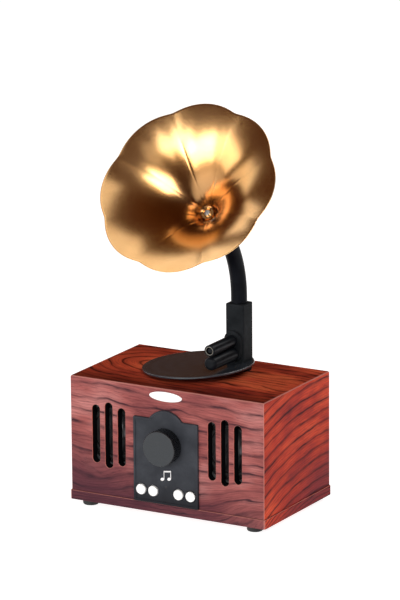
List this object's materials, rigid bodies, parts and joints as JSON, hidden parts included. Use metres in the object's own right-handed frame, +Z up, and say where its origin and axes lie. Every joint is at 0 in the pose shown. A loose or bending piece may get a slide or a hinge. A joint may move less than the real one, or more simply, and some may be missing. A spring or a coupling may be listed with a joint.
{
  "type": "horn loudspeaker",
  "caption": "Small gramophone-styled table loudspeaker: wood-grain cabinet with slotted front, control panel, disc, post and a petalled gold horn that swivels.",
  "frame": {"origin": "centre of the cabinet's underside, 4 mm above the plane that the feet stand on", "axes": "+X to the viewer's right, +Y from the front to the back, +Z up"},
  "size_m": [0.1594, 0.1385, 0.2819],
  "materials": {
    "rosewood_vinyl": "satin rosewood-grain vinyl over board",
    "raw_wood": "bare softwood",
    "black_plastic": "fine matt moulded",
    "gloss_black": "polished with fine concentric grooves",
    "satin_gold": "satin gold lacquer",
    "rubber_black": "matt",
    "white_plastic": "gloss moulded",
    "screw_steel": "zinc plated",
    "frame_steel": "grey enamel",
    "magnet_ferrite": "sintered ferrite",
    "cone_paper": "coated paper",
    "cap_silver": "satin",
    "circuit_board": "solder mask on glass-fibre board",
    "brass_pin": "turned",
    "battery_wrap": "shrink sleeve",
    "clear_pipe": "clear moulded light guide"
  },
  "bodies": {
    "cabinet": {"arm_post": "black_plastic", "aux_socket": "black_plastic", "back_panel": "rosewood_vinyl", "back_panel_screws": "screw_steel", "badge_plate": "white_plastic", "battery": "battery_wrap", "board_standoffs": "brass_pin", "bottom_board": "rosewood_vinyl", "button_switches": "black_plastic", "control_board": "circuit_board", "control_panel": "black_plastic", "corner_cleats": "raw_wood", "disc_wedge": "black_plastic", "driver_screws": "screw_steel", "foot_back_left": "rubber_black", "foot_back_right": "rubber_black", "foot_front_left": "rubber_black", "foot_front_right": "rubber_black", "foot_screws": "screw_steel", "front_baffle": "rosewood_vinyl", "led_light_pipe": "clear_pipe", "left_driver_frame": "frame_steel", "left_magnet": "magnet_ferrite", "left_side": "rosewood_vinyl", "left_surround": "rubber_black", "left_yoke": "frame_steel", "lower_arm": "black_plastic", "main_board": "circuit_board", "neck_grub_screw": "screw_steel", "post_screws": "screw_steel", "pot_nut": "screw_steel", "power_switch": "black_plastic", "rear_plate": "black_plastic", "record_disc": "gloss_black", "right_driver_frame": "frame_steel", "right_magnet": "magnet_ferrite", "right_side": "rosewood_vinyl", "right_surround": "rubber_black", "right_yoke": "frame_steel", "small_screws": "screw_steel", "top_board": "rosewood_vinyl", "upper_arm": "black_plastic", "usb_socket": "screw_steel", "volume_pot": "black_plastic"},
    "volume": {"volume_knob": "black_plastic", "volume_shaft": "screw_steel"},
    "button_outer_left": {"button_outer_left": "white_plastic"},
    "button_inner_left": {"button_inner_left": "white_plastic"},
    "button_inner_right": {"button_inner_right": "white_plastic"},
    "button_outer_right": {"button_outer_right": "white_plastic"},
    "left_diaphragm": {"left_cone": "cone_paper", "left_dust_cap": "cap_silver"},
    "right_diaphragm": {"right_cone": "cone_paper", "right_dust_cap": "cap_silver"},
    "power_slider": {"power_slider": "black_plastic"},
    "horn": {"neck_tube": "black_plastic", "horn_bell": "satin_gold", "horn_collar": "satin_gold", "throat_ring": "satin_gold", "throat_screw": "screw_steel"}
  },
  "joints": [
    {"name": "volume_turn", "type": "hinge", "parent": "cabinet", "child": "volume", "pos_m": [0, -0.0525, 0.048], "axis": [0, 1, 0], "range_deg": [-150, 150]},
    {"name": "button_outer_left_press", "type": "slide", "parent": "cabinet", "child": "button_outer_left", "axis": [0, 1, 0], "range_m": [0, 0.0008], "stiffness_N_per_m": 400, "springref_m": -0.0004},
    {"name": "button_inner_left_press", "type": "slide", "parent": "cabinet", "child": "button_inner_left", "axis": [0, 1, 0], "range_m": [0, 0.0008], "stiffness_N_per_m": 400, "springref_m": -0.0004},
    {"name": "button_inner_right_press", "type": "slide", "parent": "cabinet", "child": "button_inner_right", "axis": [0, 1, 0], "range_m": [0, 0.0008], "stiffness_N_per_m": 400, "springref_m": -0.0004},
    {"name": "button_outer_right_press", "type": "slide", "parent": "cabinet", "child": "button_outer_right", "axis": [0, 1, 0], "range_m": [0, 0.0008], "stiffness_N_per_m": 400, "springref_m": -0.0004},
    {"name": "left_diaphragm_stroke", "type": "slide", "parent": "cabinet", "child": "left_diaphragm", "axis": [0, 1, 0], "range_m": [-0.001, 0.001], "stiffness_N_per_m": 900},
    {"name": "right_diaphragm_stroke", "type": "slide", "parent": "cabinet", "child": "right_diaphragm", "axis": [0, 1, 0], "range_m": [-0.001, 0.001], "stiffness_N_per_m": 900},
    {"name": "power_slide", "type": "slide", "parent": "cabinet", "child": "power_slider", "axis": [1, 0, 0], "range_m": [0, 0.002]},
    {"name": "horn_swivel", "type": "hinge", "parent": "cabinet", "child": "horn", "pos_m": [0.0185, 0.0217, 0.134], "axis": [0, 0, 1], "continuous": true}
  ]
}
